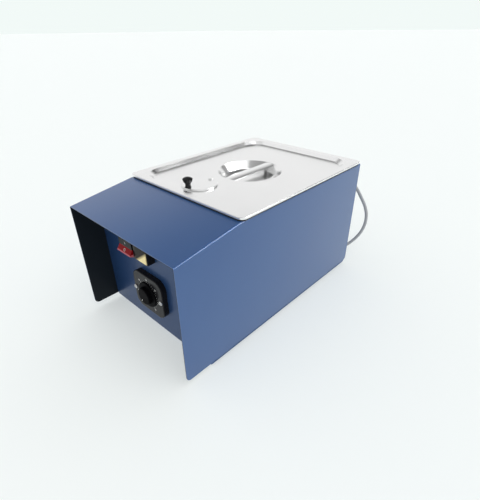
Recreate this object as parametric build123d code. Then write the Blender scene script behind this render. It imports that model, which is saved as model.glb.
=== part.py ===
from build123d import *
import os
from math import atan, cos, degrees, pi, radians, sin, sqrt, tan

# Bench water bath, in millimetres. X runs across the front, +Y to the rear, +Z up. The origin is on the
# table, under the middle of the case.

os.makedirs("parts", exist_ok=True)

# Case: a folded cover over a folded chassis
case_width = 260.0
case_depth = 440.0
space_under_tank = 69.0
hood_drop = 16.5
hood_length = 113.0
cover_lift = 9.0
cover_sheet = 1.5
cover_bend = 3.0
cover_corner = 8.0
chassis_sheet = 1.5
chassis_bend = 2.0
chassis_gap = 0.4
roof_gap = 0.7
front_return = 12.0
rear_return_gap = 1.5
front_recess = 46.5
rear_recess = 3.0
foot_height = 3.5
foot_radius = 8.0
foot_taper = 1.5
foot_inset_side = 24.0
foot_inset_front = 22.0
foot_inset_rear = 26.0
cover_flange = 12.0
cover_flange_low = 26.0
cover_flange_drop = 23.0
rear_screw_low_inset = 20.0
rear_screw_high_inset = 24.0
bracket_size = 20.0
bracket_width = 24.0
bracket_front_inset = 32.0
bracket_rear_inset = 65.5
slot_width = 4.0
slot_count = 9
slot_pitch = 10.0
rear_slot_z = 60.0
rear_slot_height = 44.0
base_slot_inset = 26.0
base_slot_length = 34.0

# Tank, a deep-drawn pan whose rim lies on the cover's roof
rim_overhang = 2.0
rim_front_margin = 1.0
rim_rear_margin = 2.0
rim_corner = 10.0
rim_land = 10.5
tank_sheet = 0.8
mouth_corner = 48.0
tank_depth = 150.0
tank_taper = 9.0
tank_floor_radius = 18.0
gasket_thickness = 2.6
gasket_inset = 1.0
cutout_gap = 1.2
shelf_margin = 2.5
shelf_corner = 24.0
shelf_height = 22.0
shelf_sheet = 1.2
shelf_hole = 6.0
shelf_pitch = 28.0
shelf_edge = 20.0
shelf_leg_length = 150.0

# Lid
lid_overhang = 0.5
lid_corner = 10.0
lid_sheet = 0.8
lid_lip = 2.3
lid_seat_gap = 0.3
lid_rim = 13.0
recess_depth = 6.0
recess_slope = 7.0
recess_corner = 38.0
recess_floor_radius = 3.0
dish_radius = 57.0
dish_floor_radius_at = 46.0
dish_depth = 14.0
dish_fillet = 5.0
strap_width = 22.0
strap_sheet = 1.2
strap_crown = 2.0
strap_gap = 0.1
lid_lift = 120.0

# Swivelling cover over the hole in the lid
port_x = -14.0
port_from_lid_front = 55.5
port_radius = 18.0
disc_radius = 30.0
disc_sheet = 1.0
disc_lip = 1.2
disc_gap = 0.3
pivot_offset = 24.5
pivot_radius = 2.4
pivot_collar_radius = 3.6
pivot_head_radius = 4.2
pivot_head = 1.6
pivot_tail = 1.2
pivot_clearance = 0.1
grip_offset = 24.5
grip_radius = 8.3
grip_foot_radius = 5.4
grip_waist_radius = 4.4
grip_height = 17.0
grip_dome = 3.0
grip_flutes = 14
grip_screw_radius = 2.0

# Thermostat with its front plate and knob
control_x = -2.5
control_z = 75.0
plate_width = 76.0
plate_height = 70.0
plate_corner = 16.0
plate_thickness = 9.5
plate_edge = 1.5
plate_screw_offset = 33.5
plate_screw_radius = 2.0
plate_screw_head = 3.8
skirt_radius = 22.0
skirt_thickness = 2.5
knob_radius = 15.5
knob_taper = 1.0
knob_length = 9.0
knob_flutes = 18
knob_gap = 0.4
shaft_radius = 3.0
shaft_clearance = 0.3
shaft_flat = 2.0
shaft_fit = 0.1
shaft_grip = 6.5
bush_radius = 5.0
bush_length = 8.0
thermostat_width = 46.0
thermostat_height = 42.0
thermostat_length = 30.0
thermostat_screw_offset = 14.0
bulb_radius = 3.2
bulb_length = 90.0
bulb_from_tank_front = 37.0
capillary_radius = 0.9
capillary_stub_x = 12.0
capillary_stub_y = 4.0
capillary_stub_up = 8.0
capillary_straight = 10.0
capillary_bow_x = 22.0
capillary_bow_y = 24.0
capillary_bow_drop = 14.0
capillary_turn_x = 26.0
capillary_turn_y = 16.0
capillary_turn_drop = 4.0
capillary_end_x = 20.0
capillary_bend = 4.0

# Rocker switch and pilot lamp in one frame
frame_left = -59.0
frame_right = 16.5
frame_bottom = 137.5
frame_top = 165.5
frame_thickness = 13.0
frame_corner = 2.0
rocker_x = -38.0
switch_z = 151.5
rocker_width = 35.0
rocker_swing_radius = 12.5
rocker_half_angle = 28.0
rocker_tilt = 14.0
rocker_gap = 0.3
rocker_pivot_in = 1.5
rocker_web = 3.0
rocker_pin_radius = 1.5
rocker_pin_length = 1.2
switch_wall = 1.6
switch_height = 21.0
switch_length = 26.0
lamp_x = 0.7
lamp_width = 28.0
lamp_height = 23.5
lamp_foot = 3.0
lamp_proud_low = 1.5
lamp_proud_high = 0.5
lamp_body_length = 20.0
lamp_gap = 0.2

# Heating and insulation under and round the tank
mat_side_margin = 4.5
mat_front_margin = 28.5
mat_rear_margin = 30.5
mat_thickness = 3.0
mat_corner = 12.0
mat_boss_width = 18.0
mat_boss_length = 12.0
pad_thickness = 22.0
pad_margin = 5.0
carrier_sheet = 1.5
pillar_radius = 5.0
pillar_inset = 14.0
band_low = 9.0
band_high = 16.0
band_gap = 0.4
band_notch_margin = 3.0
band_notch_length = 40.0
cutout_radius = 8.0
cutout_height = 9.0
cutout_margin = 4.0
clip_length = 24.0
clip_sheet = 1.0
clip_ear = 6.0
clip_fit = 0.05

# Fasteners
screw_radius = 2.0
screw_head_radius = 3.8
screw_head = 2.0
hole_clearance = 0.15
nut_height = 3.2
nut_flats = 7.0
case_screw_length = 8.0
pillar_screw_length = 10.0
carrier_screw_length = 12.0
thermostat_screw_length = 9.0
terminal_screw_head = 3.4

# Tabs that the inner wires push onto
tab_width = 6.3
tab_length = 8.0
tab_sheet = 0.8

# Terminal block and earth stud on the base
terminal_inset = 62.5
terminal_behind_panel = 38.0
terminal_length = 58.0
terminal_width = 20.0
terminal_height = 18.0
terminal_foot = 0.55
terminal_poles = 4
terminal_ear = 8.0
terminal_gap = 2.0
terminal_bore = 1.8
terminal_well = 2.2
earth_inset = 44.5
earth_behind_panel = 40.0
earth_radius = 2.5
earth_head_radius = 4.2
earth_head = 1.5
earth_length = 14.0
earth_washer_radius = 5.0
earth_washer = 1.0
earth_nut_flats = 8.0
earth_nut_height = 4.0

# Mains lead
cord_radius = 3.25
relief_inset = 37.0
relief_drop = 53.0
relief_flange_radius = 9.5
relief_flange = 2.5
relief_neck_radius = 6.2
relief_length = 26.0
relief_tip_radius = 4.8
relief_nut_flats = 19.0
relief_nut_height = 4.0
coil_x = 18.0
coil_behind = 53.25
coil_radius = 35.75
coil_columns = 4
coil_rows = 2
coil_inset = 0.05
plug_behind = 23.0
plug_axis_z = 19.0
plug_start_x = -86.0
plug_radius = 18.8
plug_boot = 24.0
plug_shoulder = 16.0
plug_head = 17.0
pin_radius = 2.4
pin_length = 19.0
pin_pitch = 19.0

# Derived places
case_top = space_under_tank + tank_depth
front_y = -case_depth / 2
rear_y = case_depth / 2
kink_y = front_y + hood_length
hood_angle = atan(hood_drop / hood_length)
panel_y = front_y + front_recess
panel_in_y = panel_y + chassis_sheet
rear_panel_y = rear_y - rear_recess
rear_in_y = rear_panel_y - chassis_sheet
base_top = foot_height + chassis_sheet
inner_half = case_width / 2 - cover_sheet
rim_length = case_depth - hood_length - rim_front_margin - rim_rear_margin
tank_y = rear_y - rim_rear_margin - rim_length / 2
rim_width = case_width + 2 * rim_overhang
mouth_width = rim_width - 2 * rim_land
mouth_length = rim_length - 2 * rim_land
floor_width = mouth_width - 2 * (tank_taper + tank_floor_radius)
floor_length = mouth_length - 2 * (tank_taper + tank_floor_radius)
rim_z = case_top + gasket_thickness
rim_top = rim_z + tank_sheet
tank_floor_z = rim_top - tank_depth
tank_under = tank_floor_z - tank_sheet
lid_width = rim_width + 2 * lid_overhang
lid_length = rim_length + 2 * lid_overhang
lid_under = rim_top + lid_seat_gap
lid_top = lid_under + lid_lip
recess_z = lid_top - recess_depth
disc_top = recess_z + disc_gap + disc_lip + disc_sheet
port_y = tank_y - lid_length / 2 + port_from_lid_front
face_y = panel_y - plate_thickness
mat_under = tank_under - mat_thickness
pad_under = mat_under - pad_thickness
carrier_under = pad_under - carrier_sheet
mat_width = floor_width - 2 * mat_side_margin
mat_length = floor_length - mat_front_margin - mat_rear_margin
mat_y = tank_y + (mat_front_margin - mat_rear_margin) / 2
shelf_width = floor_width - 2 * shelf_margin
shelf_length = floor_length - 2 * shelf_margin
terminal_x = inner_half - terminal_inset
terminal_y = panel_in_y + terminal_behind_panel
earth_x = earth_inset - inner_half
earth_y = panel_in_y + earth_behind_panel
relief_x = case_width / 2 - relief_inset
relief_z = case_top - relief_drop
coil_y = rear_y + coil_behind
coil_front_y = coil_y - coil_radius - (coil_columns - 1) * cord_radius
coil_top_z = (2 * coil_rows - 1) * cord_radius
plug_axis_y = rear_y + plug_behind


def roof_z(y):
    """Height of the roof's outer face at a place along the case."""
    return case_top - max(0.0, kink_y - y) * tan(hood_angle)


def plate(width, length, corner, low, high, x=0.0, y=0.0):
    """A flat rounded slab between two heights."""
    return Pos(x, y, low) * extrude(RectangleRounded(width, length, corner), amount=high - low)


def rod(radius, start, end):
    """A round bar between two points."""
    a, b = Vector(*start), Vector(*end)
    return extrude(Plane(origin=a, z_dir=b - a) * Circle(radius), amount=(b - a).length)


def pressed_form(outline, high, low, draw, floor_radius):
    """What a press tool leaves below a level: an outline drawn in towards a rounded floor."""
    mouth = Plane(origin=(0, tank_y, high), z_dir=(0, 0, -1)) * outline
    form = extrude(mouth, amount=high - low, taper=degrees(atan(draw / (high - low))))
    return fillet(form.faces().sort_by(Axis.Z)[0].edges(), floor_radius)


def pan_screw(radius, head_radius, head, length):
    """A screw with a low domed head, standing on its head's seat at z = 0 with the shank downwards."""
    cap = Pos(0, 0, head / 2) * Cylinder(head_radius, head)
    cap = fillet(cap.edges().sort_by(Axis.Z)[-1], head * 0.6)
    slot = Pos(0, 0, head) * Box(2 * head_radius * 0.62, 0.9, head * 0.9)
    cross = slot + Pos(0, 0, head) * Box(0.9, 2 * head_radius * 0.62, head * 0.9)
    return cap - cross + Pos(0, 0, -length / 2) * Cylinder(radius, length)


def hex_nut(flats, height, bore):
    """A plain hexagon nut on z = 0."""
    return extrude(RegularPolygon(flats / 2, 6, major_radius=False) - Circle(bore), amount=height)


def turn_out(y, x=0.0, z=0.0):
    """Location on an upright panel whose outer side faces the front: local +Z points to -Y."""
    return Pos(x, y, z) * Rot(90, 0, 0)


def turn_back(y, x=0.0, z=0.0):
    """Location on an upright panel whose outer side faces the rear: local +Z points to +Y."""
    return Pos(x, y, z) * Rot(-90, 0, 0)


def case_profile(inset, past):
    """Side view of the case's outer face, or of its inner face when inset by the sheet."""
    corner_y = kink_y + inset * tan(hood_angle / 2)
    front_z = case_top - hood_drop - inset / cos(hood_angle) - past * tan(hood_angle)
    low = cover_lift - past
    points = [
        (front_y - past, low),
        (front_y - past, front_z),
        (corner_y, case_top - inset),
        (rear_y + past, case_top - inset),
        (rear_y + past, low),
    ]
    return make_face(Plane.YZ * Polyline(*points, close=True))


def long_top_edges(solid, half_width):
    """The two folds that run along the case between its roof and its sides."""
    low = case_top - 1.3 * hood_drop
    edges = solid.edges().filter_by(lambda e: abs(abs(e.center().X) - half_width) < 0.01)
    return edges.filter_by(lambda e: e.center().Z > low and abs(e.tangent_at(0.5).Y) > 0.9)


def rear_screw_places():
    x = inner_half - cover_flange / 2
    low = cover_flange_low + rear_screw_low_inset
    high = case_top - cover_flange_drop - rear_screw_high_inset
    return [(side * x, z) for side in (-1, 1) for z in (low, high)]


def make_cover():
    """The painted cover: two sides and a roof folded from one sheet, open below, in front and behind."""
    profile = case_profile(0, 0)
    low_corners = profile.vertices().sort_by(Axis.Z)[:2]
    outer = extrude(fillet(low_corners, cover_corner), amount=case_width / 2, both=True)
    outer = fillet(long_top_edges(outer, case_width / 2), cover_bend)
    inner = extrude(case_profile(cover_sheet, 5), amount=inner_half, both=True)
    inner = fillet(long_top_edges(inner, inner_half), cover_bend - cover_sheet)
    cover = outer - inner
    cover -= mouth_cut()
    for side in (-1, 1):
        high = case_top - cover_flange_drop
        middle = (cover_flange_low + high) / 2
        flange = Box(cover_flange + cover_sheet / 2, cover_sheet, high - cover_flange_low)
        x = side * (inner_half + cover_sheet / 2 - (cover_flange + cover_sheet / 2) / 2)
        cover += Pos(x, rear_in_y - cover_sheet / 2, middle) * flange
    for x, z in rear_screw_places():
        cover -= turn_back(rear_in_y, x, z) * Cylinder(screw_radius + hole_clearance, 4 * cover_sheet)
    return cover


def mouth_cut():
    """The opening that roof and seal leave round the tank."""
    opening = extrude(mouth_outline(tank_sheet + cutout_gap), amount=2 * gasket_thickness, both=True)
    return Pos(0, tank_y, case_top) * opening


def offset_left(points, distance):
    """The same open path moved to its left by a distance, with its corners kept."""
    lines = []
    for (ay, az), (by, bz) in zip(points, points[1:]):
        length = sqrt((by - ay) ** 2 + (bz - az) ** 2)
        ny, nz = -(bz - az) / length * distance, (by - ay) / length * distance
        lines.append(((ay + ny, az + nz), (by + ny, bz + nz)))
    moved = [lines[0][0]]
    for (p, q), (r, s) in zip(lines, lines[1:]):
        dy, dz = q[0] - p[0], q[1] - p[1]
        ey, ez = s[0] - r[0], s[1] - r[1]
        t = ((r[0] - p[0]) * ez - (r[1] - p[1]) * ey) / (dy * ez - dz * ey)
        moved.append((p[0] + t * dy, p[1] + t * dz))
    return moved + [lines[-1][1]]


def folded_sheet(points, sheet, bend, half_width):
    """A strip folded along a path in the YZ plane, with the sheet to the path's left."""
    inside = offset_left(points, sheet)
    outer = FilletPolyline(*points, radius=bend + sheet)
    inner = FilletPolyline(*inside, radius=bend)
    ends = Line(points[0], inside[0]) + Line(points[-1], inside[-1])
    return extrude(make_face(Plane.YZ * (outer + inner + ends)), amount=half_width, both=True)


def bracket_places():
    front, rear = panel_in_y + bracket_front_inset, rear_in_y - bracket_rear_inset
    return [(side, y) for side in (-1, 1) for y in (front, rear)]


def base_screw_places():
    x = inner_half - cover_sheet - bracket_size / 2
    return [(side * x, y) for side, y in bracket_places()]


def pillar_places():
    x = mat_width / 2 + pad_margin - pillar_inset
    y = mat_length / 2 + pad_margin - pillar_inset
    return [(sx * x, mat_y + sy * y) for sx in (-1, 1) for sy in (-1, 1)]


def foot_places():
    x = case_width / 2 - foot_inset_side
    front, rear = panel_y + foot_inset_front, rear_y - foot_inset_rear
    return [(side * x, y) for side in (-1, 1) for y in (front, rear)]


def make_chassis():
    """The painted chassis: front panel, base and rear panel folded from one sheet."""
    half_width = inner_half - chassis_gap
    front_top = roof_z(panel_y) - cover_sheet / cos(hood_angle) - roof_gap
    rear_top = case_top - cover_sheet - roof_gap
    path = [
        (panel_y + front_return, front_top),
        (panel_y, front_top),
        (panel_y, foot_height),
        (rear_panel_y, foot_height),
        (rear_panel_y, rear_top),
        (tank_y + mouth_length / 2 + tank_sheet + rear_return_gap, rear_top),
    ]
    chassis = folded_sheet(path, chassis_sheet, chassis_bend, half_width)
    through = 6 * chassis_sheet
    bores = [
        turn_out(panel_y, control_x, control_z) * Cylinder(bush_radius + hole_clearance, through),
        turn_back(rear_panel_y, relief_x, relief_z) * Cylinder(relief_neck_radius + hole_clearance, through),
        Pos(earth_x, earth_y, foot_height) * Cylinder(earth_radius + hole_clearance, through),
    ]
    for x in (-thermostat_screw_offset, thermostat_screw_offset, -plate_screw_offset, plate_screw_offset):
        place = turn_out(panel_y, control_x + x, control_z)
        bores.append(place * Cylinder(screw_radius + hole_clearance, through))
    for x, z in rear_screw_places():
        bores.append(turn_back(rear_panel_y, x, z) * Cylinder(screw_radius + hole_clearance, through))
    for x, y in base_screw_places() + pillar_places() + terminal_screw_places():
        bores.append(Pos(x, y, foot_height) * Cylinder(screw_radius + hole_clearance, through))
    for x, (width, height) in ((rocker_x, switch_body_size()), (lamp_x, lamp_body_size())):
        bores.append(Pos(x, panel_y, switch_z) * Box(width + 2 * lamp_gap, through, height + 2 * lamp_gap))
    rear_slot = SlotOverall(rear_slot_height, slot_width, rotation=90)
    rear_slot = extrude(rear_slot, amount=through / 2, both=True)
    base_slot = SlotOverall(base_slot_length, slot_width, rotation=90)
    base_slot = extrude(base_slot, amount=through / 2, both=True)
    for i in range(slot_count):
        x = (i - (slot_count - 1) / 2) * slot_pitch
        bores.append(turn_back(rear_panel_y, x, rear_slot_z) * rear_slot)
        bores.append(Pos(x, panel_in_y + base_slot_inset, foot_height) * base_slot)
    return chassis - bores


def make_brackets():
    """Four angle brackets that carry the cover's sides on the base."""
    group = []
    for side, y in bracket_places():
        height = bracket_size + base_top
        upright = Box(cover_sheet, bracket_width, height)
        upright = Pos(side * (inner_half - cover_sheet / 2), y, base_top + height / 2) * upright
        leg_x = side * (inner_half - cover_sheet - bracket_size / 2)
        leg = Box(bracket_size + cover_sheet, bracket_width, cover_sheet)
        leg = Pos(leg_x, y, base_top + cover_sheet / 2) * leg
        hole = Pos(leg_x, y, base_top) * Cylinder(screw_radius + hole_clearance, 6 * cover_sheet)
        group.append(upright + leg - hole)
    return group


def make_feet():
    """Stick-on rubber feet under the base."""
    foot = Pos(0, 0, foot_height / 2) * Cylinder(foot_radius, foot_height)
    foot = chamfer(foot.edges().sort_by(Axis.Z)[0], foot_height * 0.6, foot_taper)
    return [Pos(x, y, 0) * foot for x, y in foot_places()]


def screws_up(places, seat, length):
    """Screws driven up through the base, heads below it."""
    screw = Rot(180, 0, 0) * pan_screw(screw_radius, screw_head_radius, screw_head, length)
    return [Pos(x, y, seat) * screw for x, y in places]


def mouth_outline(grow):
    """The tank's mouth, or a line parallel to it when grown."""
    return RectangleRounded(mouth_width + 2 * grow, mouth_length + 2 * grow, mouth_corner + grow)


def make_tank():
    """The stainless tank: a drawn pan with a flat rim all round."""
    outer_radius = tank_floor_radius + tank_sheet
    outer = pressed_form(mouth_outline(tank_sheet), rim_top, tank_under, tank_taper, outer_radius)
    inner = pressed_form(mouth_outline(0), rim_top, tank_floor_z, tank_taper, tank_floor_radius)
    rim = plate(rim_width, rim_length, rim_corner, rim_z, rim_top, y=tank_y)
    return outer + rim - inner


def make_gasket():
    """The black seal between the tank's rim and the roof."""
    width, length = rim_width - 2 * gasket_inset, rim_length - 2 * gasket_inset
    ring = plate(width, length, rim_corner, case_top, rim_z, y=tank_y)
    return ring - mouth_cut()


def make_shelf():
    """The perforated false floor that keeps vessels off the heated tank floor."""
    top = tank_floor_z + shelf_height
    deck = plate(shelf_width, shelf_length, shelf_corner, top - shelf_sheet, top, y=tank_y)
    for side in (-1, 1):
        leg = Box(shelf_sheet, shelf_leg_length, shelf_height)
        deck += Pos(side * (shelf_width - shelf_sheet) / 2, tank_y, tank_floor_z + shelf_height / 2) * leg
    columns = int((shelf_width - 2 * shelf_edge) / shelf_pitch) + 1
    rows = int((shelf_length - 2 * shelf_edge) / shelf_pitch) + 1
    hole = Cylinder(shelf_hole, 4 * shelf_sheet)
    return deck - [Pos(0, tank_y, top) * hole_place * hole
                   for hole_place in GridLocations(shelf_pitch, shelf_pitch, columns, rows)]


def make_mat():
    """The silicone heating mat bonded under the tank's floor, with the boss where its leads leave."""
    mat = plate(mat_width, mat_length, mat_corner, mat_under, tank_under, y=mat_y)
    boss = Box(mat_boss_width, mat_boss_length, mat_thickness)
    boss_y = mat_y - mat_length / 2 - mat_boss_length / 6
    return mat + Pos(mat_width / 4, boss_y, mat_under + mat_thickness / 2) * boss


def make_pad():
    """The mineral wool board under the heating mat."""
    width, length = mat_width + 2 * pad_margin, mat_length + 2 * pad_margin
    pad = plate(width, length, mat_corner, pad_under, mat_under, y=mat_y)
    for x, y in pillar_places():
        pad -= Pos(x, y, pad_under) * Cylinder(pillar_radius, 2 * pad_thickness / 3)
    return pad


def make_carrier():
    """The steel plate that presses the board up against the mat."""
    width, length = mat_width + 2 * pad_margin, mat_length + 2 * pad_margin
    sheet = plate(width, length, mat_corner, carrier_under, pad_under, y=mat_y)
    for x, y in pillar_places():
        sheet -= Pos(x, y, carrier_under) * Cylinder(screw_radius + hole_clearance, 4 * carrier_sheet)
    return sheet


def make_pillars():
    """Hexagonal pillars from the base to the carrier plate."""
    bore = screw_radius + hole_clearance
    pillar = hex_nut(2 * pillar_radius * 0.9, carrier_under - base_top, bore)
    return [Pos(x, y, base_top) * pillar for x, y in pillar_places()]


def make_pillar_top_screws():
    """Screws that hold the carrier plate down on its pillars."""
    screw = pan_screw(screw_radius, screw_head_radius, screw_head, carrier_screw_length)
    return [Pos(x, y, pad_under) * screw for x, y in pillar_places()]


def make_band():
    """The felt blanket between the tank's walls and the case."""
    low, high = tank_under + band_low, case_top - band_high
    width = 2 * (inner_half - band_gap)
    length = 2 * (rear_in_y - cover_sheet - band_gap - tank_y)
    outer = plate(width, length, mouth_corner, low, high, y=tank_y)
    wall = mouth_outline(tank_sheet + band_gap)
    hollow = pressed_form(wall, rim_top, tank_under - band_gap, tank_taper, tank_floor_radius)
    notch = Cylinder(relief_nut_flats / 2 + band_notch_margin, band_notch_length)
    notch = turn_back(rear_panel_y, relief_x, relief_z) * notch
    return outer - hollow - notch


def make_cutout():
    """The disc thermostat that cuts the heater off, clamped under the tank's floor."""
    y = tank_y + floor_length / 2 - cutout_radius - cutout_margin
    disc = Pos(0, y, tank_under - cutout_height / 2) * Cylinder(cutout_radius, cutout_height)
    ears = Pos(0, y, tank_under - tab_sheet / 2) * Box(4 * cutout_radius, cutout_radius, tab_sheet)
    tab = Pos(0, y, tank_under - cutout_height - tab_length / 2) * Box(tab_sheet, tab_width, tab_length)
    return disc + ears + [Pos(side * cutout_radius / 2, 0, 0) * tab for side in (-1, 1)]


def recess_form(grow, fillet_radius):
    """The tray pressed into the lid, or its outer side when grown by the sheet."""
    width, length = lid_width - 2 * lid_rim + 2 * grow, lid_length - 2 * lid_rim + 2 * grow
    outline = RectangleRounded(width, length, recess_corner + grow)
    return pressed_form(outline, lid_top, recess_z - grow, recess_slope, fillet_radius)


def dish_form(grow, fillet_radius):
    """The round finger dish under the strap handle, or its outer side when grown."""
    draw = dish_radius - dish_floor_radius_at
    low = recess_z - dish_depth - grow
    return pressed_form(Circle(dish_radius + grow), recess_z, low, draw, fillet_radius)


def make_lid():
    """The pressed stainless lid: flat rim with a turned-down lip, a shallow tray and a finger dish."""
    blank = plate(lid_width, lid_length, lid_corner, lid_under, lid_top, y=tank_y)
    blank = fillet(blank.faces().sort_by(Axis.Z)[-1].edges(), lid_sheet)
    under_w, under_l = lid_width - 2 * lid_sheet, lid_length - 2 * lid_sheet
    blank -= plate(under_w, under_l, lid_corner - lid_sheet, lid_under - 1, lid_top - lid_sheet, y=tank_y)
    lid = blank + recess_form(lid_sheet, recess_floor_radius + lid_sheet)
    lid += dish_form(lid_sheet, dish_fillet + lid_sheet)
    lid -= recess_form(0, recess_floor_radius)
    lid -= dish_form(0, dish_fillet)
    lid -= Pos(port_x, port_y, recess_z) * Cylinder(port_radius, 6 * lid_sheet)
    pivot_hole = Cylinder(pivot_radius + pivot_clearance, 6 * lid_sheet)
    lid -= Pos(port_x, port_y + pivot_offset, recess_z) * pivot_hole
    return lid


def make_handle():
    """The strap across the dish, crowned, with its ends welded to the dish's wall."""
    half = strap_width / 2
    edge = -strap_crown
    arc = ThreePointArc((-half, edge), (0, 0), (half, edge))
    low = ThreePointArc((-half, edge - strap_sheet), (0, -strap_sheet), (half, edge - strap_sheet))
    ends = Line(arc @ 0, low @ 0) + Line(arc @ 1, low @ 1)
    section = make_face(arc + low + ends)
    strap = extrude(Plane.XZ * section, amount=1.2 * dish_radius, both=True)
    strap = Pos(0, tank_y, recess_z - strap_gap) * strap
    return strap & dish_form(-strap_gap, dish_fillet)


def make_pivot():
    """The rivet that the hole cover turns on, with the collar that spaces it off the lid."""
    rivet = Cylinder(pivot_radius, disc_top + disc_gap - recess_z + 3 * lid_sheet)
    rivet = Pos(0, 0, (disc_top + disc_gap + recess_z - 3 * lid_sheet) / 2) * rivet
    head = Pos(0, 0, disc_top + disc_gap + pivot_head / 2) * Cylinder(pivot_head_radius, pivot_head)
    head = fillet(head.edges().sort_by(Axis.Z)[-1], pivot_head * 0.7)
    collar = Pos(0, 0, recess_z + disc_lip / 2) * Cylinder(pivot_collar_radius, disc_lip)
    tail = Pos(0, 0, recess_z - lid_sheet - pivot_tail / 2) * Cylinder(pivot_collar_radius, pivot_tail)
    return Pos(port_x, port_y + pivot_offset, 0) * (rivet + head + collar + tail)


def make_hole_cover():
    """The round cover plate, with a turned-down edge."""
    disc = Pos(0, 0, disc_top - (disc_sheet + disc_lip) / 2) * Cylinder(disc_radius, disc_sheet + disc_lip)
    disc = fillet(disc.edges().sort_by(Axis.Z)[-1], disc_sheet)
    disc -= Pos(0, 0, disc_top - disc_sheet - disc_lip / 2) * Cylinder(disc_radius - disc_sheet, disc_lip)
    disc -= Pos(0, pivot_offset, disc_top) * Cylinder(pivot_radius + pivot_clearance, 6 * disc_sheet)
    disc -= Pos(0, -grip_offset, disc_top) * Cylinder(grip_screw_radius + hole_clearance, 6 * disc_sheet)
    return Pos(port_x, port_y, 0) * disc


def make_grip():
    """The black fluted pull knob of the hole cover, waisted above its foot and domed on top."""
    h = grip_height
    shoulder = h - grip_dome
    sphere = (grip_radius ** 2 + grip_dome ** 2) / (2 * grip_dome)
    dome_mid = (grip_radius / 2, h - sphere + sqrt(sphere ** 2 - grip_radius ** 2 / 4))
    neck = (grip_radius - 1.4, 0.55 * h)
    waist = ThreePointArc((grip_foot_radius, 0), (grip_waist_radius, 0.28 * h), neck)
    flare = Line(neck, (grip_radius, shoulder))
    crown = ThreePointArc((grip_radius, shoulder), dome_mid, (0, h))
    outline = waist + flare + crown + Line((0, h), (0, 0)) + Line((0, 0), (grip_foot_radius, 0))
    grip = revolve(make_face(Plane.XZ * outline), Axis.Z)
    for i in range(grip_flutes):
        grip -= Rot(0, 0, 360 * i / grip_flutes) * Pos(grip_radius + 0.6, 0, h) * Cylinder(1.2, h)
    grip -= Pos(0, 0, 0) * Cylinder(grip_screw_radius + hole_clearance / 2, 1.1 * h)
    return Pos(port_x, port_y - grip_offset, disc_top) * grip


def make_grip_screw():
    """The screw that holds the grip from below."""
    head = 0.8
    cap = Pos(0, 0, -disc_sheet - head / 2) * Cylinder(3.4, head)
    length = 0.5 * grip_height + disc_sheet
    shank = Pos(0, 0, length / 2 - disc_sheet) * Cylinder(grip_screw_radius, length)
    return Pos(port_x, port_y - grip_offset, disc_top) * (cap + shank)


def make_plate():
    """The thick black plate behind the knob, with pockets for the thermostat's own screws."""
    body = extrude(RectangleRounded(plate_width, plate_height, plate_corner), amount=plate_thickness)
    body = fillet(body.faces().sort_by(Axis.Z)[-1].edges(), plate_edge)
    body -= Pos(0, 0, plate_thickness / 2) * Cylinder(bush_radius + 4 * hole_clearance, 2 * plate_thickness)
    for x in (-thermostat_screw_offset, thermostat_screw_offset):
        body -= Pos(x, 0, 0) * Cylinder(screw_head_radius + 0.6, 2 * screw_head + 1.2)
    for x in (-plate_screw_offset, plate_screw_offset):
        body -= Pos(x, 0, 0) * Cylinder(plate_screw_radius + hole_clearance, 3 * plate_thickness)
    return turn_out(panel_y, control_x, control_z) * body


def make_plate_screws():
    """The two bright screws of the plate."""
    length = plate_thickness + chassis_sheet + nut_height + 1.5
    screw = pan_screw(plate_screw_radius, plate_screw_head, 2.2, length)
    return [turn_out(face_y, control_x + s * plate_screw_offset, control_z) * screw for s in (-1, 1)]


def make_plate_nuts():
    """Their nuts behind the panel."""
    nut = hex_nut(nut_flats, nut_height, plate_screw_radius + hole_clearance)
    return [turn_back(panel_in_y, control_x + s * plate_screw_offset, control_z) * nut for s in (-1, 1)]


def make_knob():
    """The temperature knob: a fluted grip on a flat skirt, bored for its shaft."""
    skirt = Pos(0, 0, skirt_thickness / 2) * Cylinder(skirt_radius, skirt_thickness)
    skirt = chamfer(skirt.edges().sort_by(Axis.Z)[-1], 0.8)
    grip = Pos(0, 0, knob_length / 2) * Cone(knob_radius, knob_radius - knob_taper, knob_length)
    grip = fillet(grip.edges().sort_by(Axis.Z)[-1], 1.8)
    for i in range(knob_flutes):
        flute = Pos(knob_radius + 0.6, 0, skirt_thickness + knob_length / 2) * Cylinder(1.7, knob_length)
        grip -= Rot(0, 0, 360 * i / knob_flutes) * flute
    hub = Cylinder(shaft_radius + shaft_fit, 2 * (shaft_grip + shaft_fit))
    flat = Box(4 * shaft_radius, 2 * shaft_radius, 4 * shaft_grip)
    flat = Pos(0, shaft_flat + shaft_fit + shaft_radius, 0) * flat
    return turn_out(face_y - knob_gap, control_x, control_z) * (skirt + grip - (hub - flat))


def make_shaft():
    """The thermostat's spindle, with the flat that drives the knob."""
    outer_end = face_y - knob_gap - shaft_grip
    inner_end = panel_in_y + thermostat_length / 2
    length = inner_end - outer_end
    shaft = Pos(0, 0, -length / 2) * Cylinder(shaft_radius, length)
    flat = Box(4 * shaft_radius, 2 * shaft_radius, 2 * (shaft_grip + 1))
    shaft -= Pos(0, shaft_flat + shaft_radius, 0) * flat
    return turn_out(outer_end, control_x, control_z) * shaft


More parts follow.
